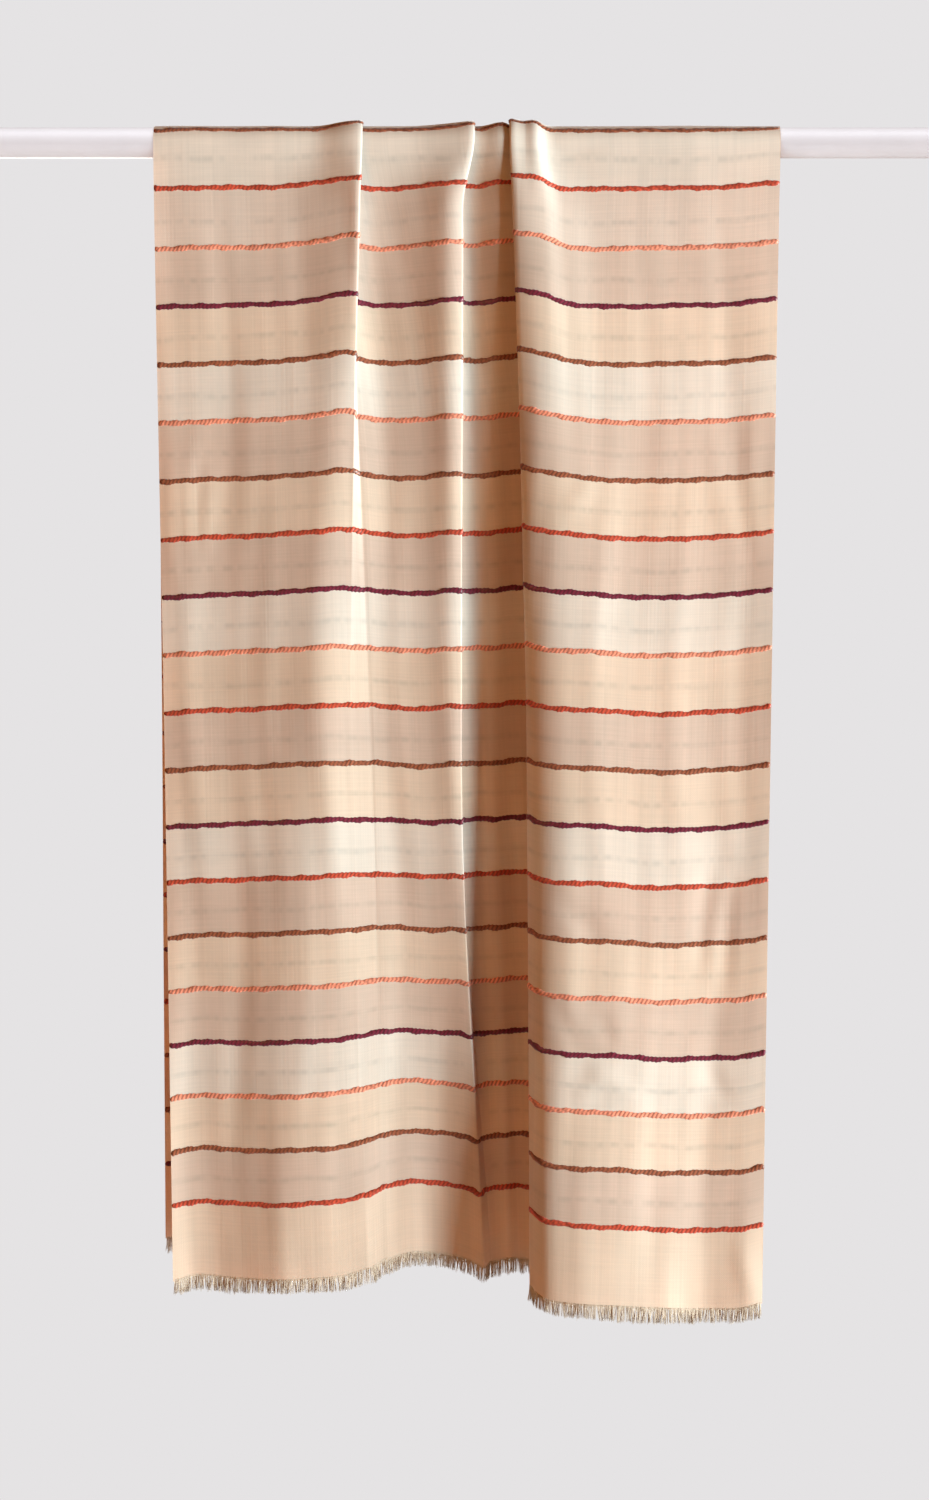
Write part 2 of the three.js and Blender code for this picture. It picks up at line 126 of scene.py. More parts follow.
BACK_CREASES = [
    #                      300 mm down          at the hem
    ("left selvedge",     [-266,  6.0,  -3.0], [-262, 14.0,  24.0]),
    ("left soft ridge",   [-240, 10.0,  -4.0], [-238, 26.0,  22.0]),
    ("left shallow",      [-207,  3.0,  -5.0], [-209, 12.0,  18.0]),
    ("left swell",        [-166,  8.0,  -4.0], [-172, 27.0,  14.0]),
    ("left flank",        [-131,  3.0,  -3.0], [-134, 15.0,  14.0]),
    ("first pleat face",  [-107, 11.0,  -3.0], [-104, 27.0,  12.0]),
    ("first pleat edge",  [ -91, 14.0,  -2.0], [ -84, 31.0,  11.0]),
    ("first pleat root",  [ -93,  8.5,  -3.0], [ -66, 24.0,  12.0]),
    ("middle trough",     [ -72,  2.0,  -4.0], [ -47, 13.0,  16.0]),
    ("middle swell",      [ -40,  8.0,  -4.0], [ -27, 28.0,  14.0]),
    ("second pleat face", [ -13, 12.0,  -4.0], [  -3, 30.0,  12.0]),
    ("second pleat edge", [   0, 15.0,  -3.0], [  12, 32.0,  11.0]),
    ("second pleat root", [   1,  8.0,  -4.0], [  22, 22.0,  13.0]),
    ("gather trough",     [  12,  2.0,  -4.0], [  31, 12.0,  16.0]),
    ("gather ridge",      [  26,  8.0,  -4.0], [  44, 20.0,  14.0]),
    ("tuck trough",       [  38,  1.0,  -4.0], [  58, 10.0,  16.0]),
    ("tuck root",         [  84,  6.0,  -3.0], [ 116, 15.0,  12.0]),
    ("tuck edge",         [  41, 16.0,  -4.0], [  52, 27.0,  10.0]),
    ("tuck face",         [  54, 22.0,  -5.0], [  72, 38.0,   8.0]),
    ("tuck flank",        [  73, 19.0,  -5.0], [ 102, 36.0,   8.0]),
    ("right slope",       [  97, 10.0,  -5.0], [ 138, 26.0,  10.0]),
    ("right shallow",     [ 140,  5.0,  -5.0], [ 168, 18.0,  12.0]),
    ("right hollow",      [ 189, 12.0,  -4.0], [ 197, 30.0,  12.0]),
    ("right swell",       [ 224,  5.0,  -4.0], [ 221, 16.0,  14.0]),
    ("right selvedge",    [ 256,  9.0,  -2.0], [ 242, 22.0,  18.0]),
]
TURNED_EDGES = (
    "first pleat edge",
    "first pleat root",
    "second pleat edge",
    "second pleat root",
    "tuck root",
    "tuck edge",
)
CREASE_NAMES = [row[0] for row in FRONT_CREASES]
SPANS = len(FRONT_CREASES) + 2 * len(TURNED_EDGES) - 1

# ---- Soft creases in the thin cloth ----
# middle is the distance from the left selvedge, or from the right one where it is negative, and down the
# distance from the rod's crest, towards the front hem, or the back hem where it is negative. slant is in
# degrees from upright, the top leaning right. A height over 0 is a ridge and under 0 a trough.
SOFT_CREASES = [
    # middle  down  length width slant height
    (  -171,   322,    36,   7,   42,  0.9),
    (   -49,   312,    92,   9,   -8,  0.8),
    (   -30,   300,   120,   6,   -2, -0.8),
    (   -20,   318,   110,   8,   -3,  0.7),
    (   -55,   680,    80,   8,    3, -0.9),
    (   -46,   690,    90,   7,    4,  0.8),
    (   -34,   686,    96,   7,    4, -0.7),
    (  -160,   684,    44,   9,  -52, -1.1),
    (  -172,   774,    38,   7,  -24, -0.9),
    (  -138,   776,    30,   7,  -30, -0.7),
    (  -150,   826,    34,   7,   49,  1.1),
    (  -130,   821,    50,   8,  -57,  0.9),
    (   -42,   820,    34,   7,  -34, -0.8),
    (   -88,   935,    90,  12,    0, -0.7),
    (   -14,   985,    60,   9,  -18,  0.9),
    (    12,   343,   130,   7,    1,  0.7),
    (    26,   320,    90,   6,    2,  0.8),
    (    33,   326,    80,   5,    2, -0.6),
    (    43,   335,    70,   7,    7,  0.7),
    (    95,   560,   180,  14,    3, -0.6),
    (    60,   820,   160,  16,   -2, -0.7),
    (   128,   905,   120,  12,    4,  0.5),
    (    58,  -330,   120,   9,    5,  0.9),
    (    84,  -352,    90,   7,    2, -0.8),
    (   176,  -560,   140,  12,   -4, -0.8),
    (   150,  -700,    50,   8,   44,  1.0),
    (    40,  -806,   110,   9,    2,  0.9),
    (   -40,  -300,   130,   8,    3,  0.9),
    (   -58,  -318,    90,   7,    0, -0.7),
    (  -132,  -515,    46,   8,  -48, -1.0),
    (  -120,  -690,    50,   9,   40,  0.9),
    (   -52,  -742,   120,   9,   -4, -0.8),
    (   -96,  -880,    90,  11,    6,  0.7),
]
# Long shallow waves down the cloth between the creases.
SOFT_WAVES = [
    # length height drift drift_length phase
    (  23.0,  0.08,  1.6,    410.0,     0.4),
    (  37.0,  0.15,  1.9,    520.0,     2.1),
    (  61.0,  0.25,  1.4,    760.0,     4.4),
    (  94.0,  0.32,  1.2,    900.0,     1.3),
]

CREASE_BOW = 0.08  # how far a soft crease bends, as a share of its length
TAUT_BELOW_ROD = 15.0  # the cloth is taut for this much below the rod, and then slackens over the next
SLACKENS_OVER = 70.0
SINK_EASE = 10.0  # a hollow may sink in behind the rod's tangent by one part in this of the way below it

# ---- The stripes, from the rod's crest down ----
YARN_TONES = ("brown", "red", "salmon", "burgundy")
SIDES = ("front", "back")
FRONT_YARNS = (
    "brown red salmon burgundy brown salmon brown red burgundy salmon "
    "red brown burgundy red brown salmon burgundy salmon brown red"
).split()
BACK_YARNS = (
    "salmon burgundy red brown salmon red brown brown brown red "
    "brown brown burgundy red burgundy red brown brown burgundy"
).split()
FRONT_BANDS = (
    "ivory peach rose gold ivory rose gold rose ivory gold "
    "rose gold ivory rose gold rose ivory gold rose gold"
).split()
BACK_BANDS = (
    "gold rose ivory gold rose gold ivory rose gold rose "
    "ivory gold rose gold ivory rose gold rose ivory gold"
).split()


# ---- The draped surface ----
def unit(vectors):
    """The vectors, each made one long."""
    return vectors / np.linalg.norm(vectors, axis=-1, keepdims=True)


def crease_places(side):
    """The crease lines of one fall, as depth by crease by (x, out, lift)."""
    on_rod = [row[1] for row in FRONT_CREASES]
    if side == "front":
        rows = [row[1:] for row in FRONT_CREASES]
    else:  # what is pulled up in front has come over from the back
        rows = [([x, out, -lift], *row[1:]) for (x, out, lift), row in zip(on_rod, BACK_CREASES)]
    return np.array(rows, float).transpose(1, 0, 2)


PLACES = {side: crease_places(side) for side in SIDES}
DEPTHS = {"front": np.array(FRONT_DEPTHS, float), "back": np.array(BACK_DEPTHS, float)}


def along_fall(side, depth):
    """Each crease line's x, out and lift at a depth below the rod's axis, level above the first depth."""
    depths, places = DEPTHS[side], PLACES[side]
    if depth <= depths[0]:
        return places[0]
    last = len(depths) - 1
    i = min(int(np.searchsorted(depths, depth, side="right")) - 1, last - 1)
    slopes = np.diff(places, axis=0) / np.diff(depths)[:, None, None]

    def tangent(k):
        """The slope at one depth: level at the first, and never past a neighbour in between."""
        if k == 0:
            return np.zeros_like(slopes[0])
        if k == last:
            return slopes[-1]
        both = slopes[k - 1] * slopes[k]
        total = slopes[k - 1] + slopes[k]
        return np.divide(2 * both, total, out=np.zeros_like(total), where=both > 0)

    step = depths[i + 1] - depths[i]
    f = min((depth - depths[i]) / step, 1.0)
    return (
        (2 * f**3 - 3 * f**2 + 1) * places[i]
        + (f**3 - 2 * f**2 + f) * step * tangent(i)
        + (3 * f**2 - 2 * f**3) * places[i + 1]
        + (f**3 - f**2) * step * tangent(i + 1)
    )


def curve_points(side, depth):
    """The points of the curve across the cloth at a depth, three of them round each turned edge."""
    creases = along_fall(side, depth)
    flat = np.array([1.0, 1.0, 0.0])
    points = []
    for i, point in enumerate(creases):
        if CREASE_NAMES[i] not in TURNED_EDGES:
            points.append(point)
            continue
        arriving = unit((point - creases[i - 1]) * flat)
        leaving = unit((creases[i + 1] - point) * flat)
        onward = unit(arriving + leaving) * TURN_RADIUS
        inward = (leaving - arriving) * TURN_RADIUS / 2
        points += [point - onward + inward, point, point + onward + inward]
    return np.array(points)


def curve_through(points, across):
    """The centripetal Catmull-Rom curve through the points, at places counted along them."""
    held = np.vstack([2 * points[0] - points[1], points, 2 * points[-1] - points[-2]])
    i = np.minimum(across.astype(int), len(points) - 2)
    f = (across - i)[:, None]
    p0, p1, p2, p3 = (held[i + k] for k in range(4))
    d0, d1, d2 = (
        np.sqrt(np.linalg.norm(b - a, axis=1, keepdims=True)) for a, b in ((p0, p1), (p1, p2), (p2, p3))
    )
    t1 = ((p1 - p0) / d0 - (p2 - p0) / (d0 + d1) + (p2 - p1) / d1) * d1
    t2 = ((p2 - p1) / d1 - (p3 - p1) / (d1 + d2) + (p3 - p2) / d2) * d1
    return p1 + t1 * f + (3 * (p2 - p1) - 2 * t1 - t2) * f**2 + (2 * (p1 - p2) + t1 + t2) * f**3


def hung_row(across, along):
    """Points of the middle surface at one distance over the cloth from the crest, + down the front."""
    side, forward = ("front", -1) if along >= 0 else ("back", 1)
    x, out, lift = curve_through(curve_points(side, abs(along) - QUARTER_WRAP), across).T
    hang = abs(along) - lift
    deepest_sink = np.minimum(0, (QUARTER_WRAP + ROD_DIAMETER - hang) / SINK_EASE)  # none beside the rod
    radius = WRAP_RADIUS + np.maximum(out, deepest_sink)
    on_rod = hang < QUARTER_WRAP
    angle = hang / WRAP_RADIUS
    y = forward * radius * np.where(on_rod, np.sin(angle), 1)
    z = np.where(on_rod, radius * np.cos(angle), QUARTER_WRAP - hang)
    return np.stack([x, y, z], axis=1)


FINE_ACROSS = np.linspace(0, SPANS, SPANS * 12 + 1)


def width_places(across, along):
    """How far each place lies from the left selvedge, measured in the cloth."""
    steps = np.linalg.norm(np.diff(hung_row(FINE_ACROSS, along), axis=0), axis=1)
    run = np.concatenate([[0], np.cumsum(steps)])
    return np.interp(across, FINE_ACROSS, run * CLOTH_WIDTH / run[-1])


def soft_relief(width, along):
    """How far the soft creases and waves raise the cloth, for arrays of places in it."""
    free = np.clip((np.abs(along) - QUARTER_WRAP - TAUT_BELOW_ROD) / SLACKENS_OVER, 0, 1)
    raised = np.zeros(np.broadcast(width, along).shape)
    for length, height, drift, drift_length, phase in SOFT_WAVES:
        sway = drift * np.sin(along * 2 * np.pi / drift_length + phase)
        raised = raised + height * np.sin(width * 2 * np.pi / length + phase + sway)
    for middle, down, length, size, slant, height in SOFT_CREASES:
        middle = middle if middle > 0 else CLOTH_WIDTH + middle
        turn = np.radians(slant)
        right, lower = width - middle, np.abs(along) - abs(down)
        beside = right * np.cos(turn) + lower * np.sin(turn)
        onward = lower * np.cos(turn) - right * np.sin(turn)
        bow = CREASE_BOW * onward**2 / length
        dome = np.exp(-(((beside - bow) / size) ** 2) - (2 * onward / length) ** 4)
        raised = raised + np.where(along * down > 0, height * dome, 0)
    return raised * free


STEP_ACROSS, STEP_ALONG = 0.02, 0.3  # for the slopes, in spans and in millimetres


def draped(across, alongs):
    """Points, outward normals and (width, length) places of the cloth, as a grid of alongs by across."""
    points, normals, places = [], [], []
    for along in alongs:
        row = hung_row(across, along)
        right = hung_row(np.minimum(across + STEP_ACROSS, SPANS), along)
        left = hung_row(np.maximum(across - STEP_ACROSS, 0), along)
        ahead, behind = hung_row(across, along + STEP_ALONG), hung_row(across, along - STEP_ALONG)
        normal = unit(np.cross(ahead - behind, right - left))
        width = width_places(across, along)
        row = row + normal * soft_relief(width, np.full_like(width, along))[:, None]
        points.append(row)
        normals.append(normal)
        places.append(np.stack([width, np.full_like(width, along + BACK_HEM)], axis=1))
    return np.array(points), np.array(normals), np.array(places)


def columns(width):
    """Places across the cloth about this far apart, two or more in each span."""
    points = hung_row(np.arange(SPANS + 1.0), FRONT_HEM / 2)
    gaps = np.linalg.norm(np.diff(points, axis=0), axis=1)
    counts = np.maximum(2, np.round(gaps / width)).astype(int)
    return np.concatenate([i + np.arange(n) / n for i, n in enumerate(counts)] + [[SPANS]])


def yarn_lines():
    """(distance from the crest, colour) of each thick yarn, from the back hem to the front hem."""
    back = [(MIDDLE_LINE_AHEAD - LINE_PITCH * (k + 1), tone) for k, tone in enumerate(BACK_YARNS)]
    front = [(MIDDLE_LINE_AHEAD + LINE_PITCH * k, tone) for k, tone in enumerate(FRONT_YARNS)]
    front[0] = (MIDDLE_LINE_AHEAD + MIDDLE_YARN_SLIP, FRONT_YARNS[0])
    return back[::-1] + front


# ---- Materials ----
def linear(hex_colour):
    """An sRGB hex colour as linear RGBA."""
    parts = [int(hex_colour[i : i + 2], 16) / 255 for i in (1, 3, 5)]
    return (*[c / 12.92 if c <= 0.04045 else ((c + 0.055) / 1.055) ** 2.4 for c in parts], 1.0)


def add_node(tree, kind, inputs=None, **settings):
    """A node with its settings. Each input is a value, or another node's output to link."""
    node = tree.nodes.new(kind)
    for name, value in settings.items():
        setattr(node, name, value)
    for name, value in (inputs or {}).items():
        if isinstance(value, bpy.types.NodeSocket):
            tree.links.new(value, node.inputs[name])
        else:
            node.inputs[name].default_value = value
    return node


def new_material(name):
    """An empty material, its node tree and its output."""
    material = bpy.data.materials.new(name)
    material.use_nodes = True
    tree = material.node_tree
    tree.nodes.clear()
    return material, tree, add_node(tree, "ShaderNodeOutputMaterial")


MIX_A, MIX_B, MIX_COLOUR = 6, 7, 2  # the colour sockets of a Mix node
NOISE_LOW, NOISE_HIGH = 0.3, 0.7  # nearly all of a noise lies between these


def streaks(tree, place, across_mm, down_mm, detail=2.0):
    """Noise drawn out along the threads: across_mm and down_mm are the size of a streak."""
    scale = (1 / (across_mm * MM), 1 / (down_mm * MM), 1.0)
    turned = add_node(tree, "ShaderNodeMapping", {"Vector": place, "Scale": scale})
    noise = add_node(tree, "ShaderNodeTexNoise", {"Vector": turned.outputs[0], "Scale": 1.0, "Detail": detail})
    return noise.outputs["Fac"]


def tinted(tree, shade, pattern, low, high, start=NOISE_LOW, end=NOISE_HIGH):
    """The shade, darkened or lightened from low to high as the pattern goes from start to end."""
    reach = {"Value": pattern, "From Min": start, "From Max": end, "To Min": low, "To Max": high}
    factor = add_node(tree, "ShaderNodeMapRange", reach).outputs[0]
    inputs = {0: 1.0, MIX_A: shade, MIX_B: factor}
    node = add_node(tree, "ShaderNodeMix", inputs, data_type="RGBA", blend_type="MULTIPLY")
    return node.outputs[MIX_COLOUR]


def uneven(pattern, low, high):
    """The inputs of a Map Range node that draws a noise over low to high."""
    return {"Value": pattern, "From Min": NOISE_LOW, "From Max": NOISE_HIGH, "To Min": low, "To Max": high}


PAINTED_LINE_WANDER = 7.0  # how far a painted shade line, standing for a yarn seen through the cloth, strays up and down
PAINTED_LINE_CORE = 0.8  # from its middle to where it begins to fade
PAINTED_LINE_EDGE = 3.6  # and to where it ends
PAINTED_LINE_DARKEST = 0.15


def painted_show_through_shade(tree, shade, down, cloud, patches):
    """The shade with painted shade: a little darker in faint lines where a yarn of the other fall lies behind,
    at its own height.
    """
    crest = add_node(tree, "ShaderNodeMath", {0: down, 1: BACK_HEM * MM}, operation="SUBTRACT").outputs[0]
    seen = MIDDLE_LINE_AHEAD - PAINTED_LINE_WANDER / 2
    level = add_node(tree, "ShaderNodeMath", {0: crest, 1: seen * MM}, operation="ADD").outputs[0]
    wander = {0: cloud, 1: PAINTED_LINE_WANDER * MM, 2: level}
    unsteady = add_node(tree, "ShaderNodeMath", wander, operation="MULTIPLY_ADD").outputs[0]
    pitch = {0: unsteady, 1: LINE_PITCH / 2 * MM}
    apart = add_node(tree, "ShaderNodeMath", pitch, operation="PINGPONG").outputs[0]
    fade = {"Value": apart, "To Min": 1.0, "To Max": 0.0}
    fade.update({"From Min": PAINTED_LINE_CORE * MM, "From Max": PAINTED_LINE_EDGE * MM})
    near = add_node(tree, "ShaderNodeMapRange", fade).outputs[0]
    # none over the rod or in the bands at the hems, where no yarn lies behind
    from_crest = add_node(tree, "ShaderNodeMath", {0: crest}, operation="ABSOLUTE").outputs[0]
    middle = LINE_PITCH * (LINES_PER_FALL + 0.5) / 2
    reach = {0: from_crest, 1: middle * MM, 2: (middle - LINE_PITCH / 2) * MM}
    on_fall = add_node(tree, "ShaderNodeMath", reach, operation="COMPARE").outputs[0]
    patchy = add_node(tree, "ShaderNodeMapRange", uneven(patches, 0.0, PAINTED_LINE_DARKEST)).outputs[0]
    strength = add_node(tree, "ShaderNodeMath", {0: on_fall, 1: patchy}, operation="MULTIPLY").outputs[0]
    faint = add_node(tree, "ShaderNodeMath", {0: near, 1: strength}, operation="MULTIPLY").outputs[0]
    painted_dimming = add_node(tree, "ShaderNodeMath", {0: 1.0, 1: faint}, operation="SUBTRACT").outputs[0]
    inputs = {0: 1.0, MIX_A: shade, MIX_B: painted_dimming}
    node = add_node(tree, "ShaderNodeMix", inputs, data_type="RGBA", blend_type="MULTIPLY")
    return node.outputs[MIX_COLOUR]


WEAVE_PITCH = 0.8  # twice as coarse as the real cloth's, so that it shows from near by
WEAVE_SHARE = 0.25  # of the relief, beside the warp's own unevenness
WEAVE_RELIEF = 0.25


def cloth_material(settings):
    """Fine plain weave of cotton and silk: soft, a little see-through, with a broad silky sheen."""
    material, tree, output = new_material("cotton_silk_plain_weave")
    place = add_node(tree, "ShaderNodeUVMap", uv_map="cloth").outputs[0]
    band = add_node(tree, "ShaderNodeAttribute", attribute_name="band").outputs["Color"]
    parts = add_node(tree, "ShaderNodeSeparateXYZ", {0: place})
    # warp ends of slightly different shades run the whole length, and weft picks the whole width
    warp = streaks(tree, place, 1.6, 160)
    wide_warp = streaks(tree, place, 7, 420, 1.0)
    weft = streaks(tree, place, 60, 1.4)
    cloud = streaks(tree, place, 45, 60, 1.0)
    # painted shade: faint darker lines where the other fall's yarns lie behind the sheer cloth
    shade = painted_show_through_shade(tree, band, parts.outputs["Y"], cloud, wide_warp)
    for pattern in (warp, wide_warp):
        shade = tinted(tree, shade, pattern, 0.97, 1.02)
    for pattern in (weft, cloud):
        shade = tinted(tree, shade, pattern, 0.96, 1.03)
    waves = []
    for axis in ("X", "Y"):
        count = {0: parts.outputs[axis], 1: np.pi / (WEAVE_PITCH * MM)}
        turn = add_node(tree, "ShaderNodeMath", count, operation="MULTIPLY").outputs[0]
        waves.append(add_node(tree, "ShaderNodeMath", {0: turn}, operation="SINE").outputs[0])
    over = add_node(tree, "ShaderNodeMath", {0: waves[0], 1: waves[1]}, operation="MULTIPLY").outputs[0]
    both = {0: over, 1: WEAVE_SHARE, 2: warp}
    raised = add_node(tree, "ShaderNodeMath", both, operation="MULTIPLY_ADD").outputs[0]
    relief = {"Strength": 0.3, "Distance": WEAVE_RELIEF * MM, "Height": raised}
    bump = add_node(tree, "ShaderNodeBump", relief).outputs[0]
    cloth = add_node(tree, "ShaderNodeBsdfPrincipled", {
        "Base Color": shade,
        "Roughness": add_node(tree, "ShaderNodeMapRange", uneven(warp, 0.58, 0.68)).outputs[0],
        "Specular IOR Level": 0.9,
        "Sheen Weight": 1.0,
        "Sheen Roughness": 0.5,
        "Sheen Tint": linear("#FFFEFA"),
        "Normal": bump,
    })
    # light that has come through is warmer than light thrown back
    inputs = {0: 1.0, MIX_A: shade, MIX_B: linear("#FFAC64")}
    warmed = add_node(tree, "ShaderNodeMix", inputs, data_type="RGBA", blend_type="MULTIPLY")
    colour = warmed.outputs[MIX_COLOUR]
    through = add_node(tree, "ShaderNodeBsdfTranslucent", {"Color": colour, "Normal": bump})
    shares = {0: settings.light_through, 1: cloth.outputs[0], 2: through.outputs[0]}
    glow = add_node(tree, "ShaderNodeMixShader", shares)
    clear = add_node(tree, "ShaderNodeBsdfTransparent")
    shares = {0: settings.see_through, 1: glow.outputs[0], 2: clear.outputs[0]}
    sheer = add_node(tree, "ShaderNodeMixShader", shares)
    tree.links.new(sheer.outputs[0], output.inputs["Surface"])
    return material


def yarn_material(tone, hex_colour):
    """Twisted two-ply silk yarn: deep colour, with a painted highlight on the crown of each ply and painted
    shade between plies.
    """
    material, tree, output = new_material("twisted_silk_yarn_" + tone)
    place = add_node(tree, "ShaderNodeUVMap", uv_map="yarn").outputs[0]
    fibre = streaks(tree, place, 3.0, 250, 3.0)
    # lighter and darker stretches along the yarn, some 40 mm long
    yarn_stretch_tone = streaks(tree, place, 40, 4000, 1.0)
    ply = add_node(tree, "ShaderNodeAttribute", attribute_name="ply").outputs["Fac"]
    # painted highlight on each ply's crown and painted shade in the groove between plies
    shade = tinted(tree, linear(hex_colour), ply, 0.3, 1.35, 0.0, 1.0)
    shade = tinted(tree, shade, fibre, 0.85, 1.12)
    shade = tinted(tree, shade, yarn_stretch_tone, 0.78, 1.22)
    yarn = add_node(tree, "ShaderNodeBsdfPrincipled", {
        "Base Color": shade,
        "Roughness": 0.42,
        "Specular IOR Level": 0.4,
        "Sheen Weight": 0.25,
        "Sheen Roughness": 0.4,
    })
    tree.links.new(yarn.outputs[0], output.inputs["Surface"])
    return material


def thread_material(hex_colour):
    """Loose cotton warp ends: matt and pale, with painted shade: greyer than the cloth, as they look where
    light comes between them.
    """
    material, tree, output = new_material("cotton_warp_ends")
    place = add_node(tree, "ShaderNodeTexCoord").outputs["Object"]
    spots = {"Vector": place, "Scale": 1 / (5 * MM), "Detail": 1.0}
    tuft = add_node(tree, "ShaderNodeTexNoise", spots).outputs["Fac"]
    shade = tinted(tree, linear(hex_colour), tuft, 0.88, 1.06)
    finish = {"Base Color": shade, "Roughness": 0.8, "Sheen Weight": 0.2}
    thread = add_node(tree, "ShaderNodeBsdfPrincipled", finish)
    tree.links.new(thread.outputs[0], output.inputs["Surface"])
    return material


def paint_material(hex_colour):
    """White satin enamel brushed on turned softwood: smooth, with faint brush marks along the rod."""
    material, tree, output = new_material("white_satin_enamel")
    place = add_node(tree, "ShaderNodeTexCoord").outputs["Object"]
    marks = streaks(tree, place, 90, 1.2)
    spots = {"Vector": place, "Scale": 1 / (30 * MM), "Detail": 2.0}
    mottle = add_node(tree, "ShaderNodeTexNoise", spots).outputs["Fac"]
    shade = tinted(tree, linear(hex_colour), mottle, 0.975, 1.01)
    relief = {"Strength": 0.12, "Distance": 0.1 * MM, "Height": marks}
    bump = add_node(tree, "ShaderNodeBump", relief).outputs[0]
    paint = add_node(tree, "ShaderNodeBsdfPrincipled", {
        "Base Color": shade,
        "Roughness": add_node(tree, "ShaderNodeMapRange", uneven(marks, 0.3, 0.42)).outputs[0],
        "IOR": 1.5,
        "Coat Weight": 0.15,
        "Coat Roughness": 0.25,
        "Normal": bump,
    })
    tree.links.new(paint.outputs[0], output.inputs["Surface"])
    return material


# ---- Meshes ----
def new_piece(name, points_mm, faces, material):
    """A mesh object at the origin, its points given in millimetres in the part's frame, shaded smooth."""
    mesh = bpy.data.meshes.new(name)
    mesh.from_pydata((np.asarray(points_mm) * MM).tolist(), [], faces)
    mesh.polygons.foreach_set("use_smooth", np.ones(len(mesh.polygons), bool))
    mesh.materials.append(material)
    mesh.update()
    piece = bpy.data.objects.new(name, mesh)
    bpy.context.scene.collection.objects.link(piece)
    return piece


def chosen(piece):
    """Makes the piece the only selected object and the active one."""
    bpy.ops.object.select_all(action="DESELECT")
    piece.select_set(True)
    bpy.context.view_layer.objects.active = piece


def grid_faces(rows, count):
    """Quads of a grid of points whose rows run from the back hem to the front hem, facing outwards."""
    at = np.arange(rows * count).reshape(rows, count)
    quads = np.stack([at[:-1, :-1], at[1:, :-1], at[1:, 1:], at[:-1, 1:]], axis=-1)
    return quads.reshape(-1, 4)


ROW_NEAR_ROD, ROW_DOWN_FALL = 3.0, 7.5  # from one row of the cloth's mesh to the next


def cloth_rows():
    """Distances from the crest, with one at each yarn, closer over the rod; and the band after each."""
    lines = [-BACK_HEM] + [line for line, _ in yarn_lines()] + [FRONT_HEM]
    bands = BACK_BANDS[:0:-1] + [BACK_BANDS[0]] + FRONT_BANDS
    rows, tones = [], []
    for start, end, tone in zip(lines, lines[1:], bands):
        near_rod = min(abs(start), abs(end)) < 2 * ROD_DIAMETER
        count = max(1, round((end - start) / (ROW_NEAR_ROD if near_rod else ROW_DOWN_FALL)))
        rows += [start + (end - start) * k / count for k in range(count)]
        tones += [tone] * count
    return rows + [FRONT_HEM], tones


SMOOTH_UNDER = 80  # degrees between two faces, past which an edge is sharp


def hang_cloth(settings):
    """The whole cloth as one thin shell over the rod, with its two selvedges and two woven ends."""
    across = columns(settings.mesh_size / MM)
    rows, tones = cloth_rows()
    points, _, places = draped(across, rows)
    faces = grid_faces(len(rows), len(across))
    cloth = new_piece("stole_cloth", points.reshape(-1, 3), faces.tolist(), cloth_material(settings))
    mesh = cloth.data
    corners = np.zeros(len(mesh.loops), int)
    mesh.loops.foreach_get("vertex_index", corners)
    uv = mesh.uv_layers.new(name="cloth")
    uv.data.foreach_set("uv", (places.reshape(-1, 2)[corners] * MM).ravel())
    colours = {name: linear(getattr(settings, name)) for name in ("ivory", "peach", "gold", "rose")}
    band = mesh.color_attributes.new(name="band", type="FLOAT_COLOR", domain="CORNER")
    per_face = np.array([colours[tone] for tone in tones]).repeat(len(across) - 1, axis=0)
    band.data.foreach_set("color", per_face.repeat(4, axis=0).ravel())
    chosen(cloth)
    shell = cloth.modifiers.new("thickness", "SOLIDIFY")
    shell.thickness = settings.thickness
    shell.offset = 0.0
    bpy.ops.object.modifier_apply(modifier=shell.name)
    bpy.ops.object.shade_smooth_by_angle(angle=np.radians(SMOOTH_UNDER))
    return cloth


YARN_SIDES = 8
YARN_WANDER = ((0.35, 71), (0.28, 23), (0.22, 11))  # how far it strays up and down, over what length
YARN_SLUBS = ((0.10, 31), (0.08, 13))  # how much thicker it gets, over what length
YARN_TAPER = 1.5  # from the selvedge to where it is full thickness
YARN_AT_EDGE = 0.35  # its share of that at the selvedge
YARN_VALLEY, YARN_CROWN = 0.80, 0.26  # its size between two plies, and how much more on one


def ripple(run, length, phase):
    """A wave along the yarn."""
    return np.sin(run * 2 * np.pi / length + phase)


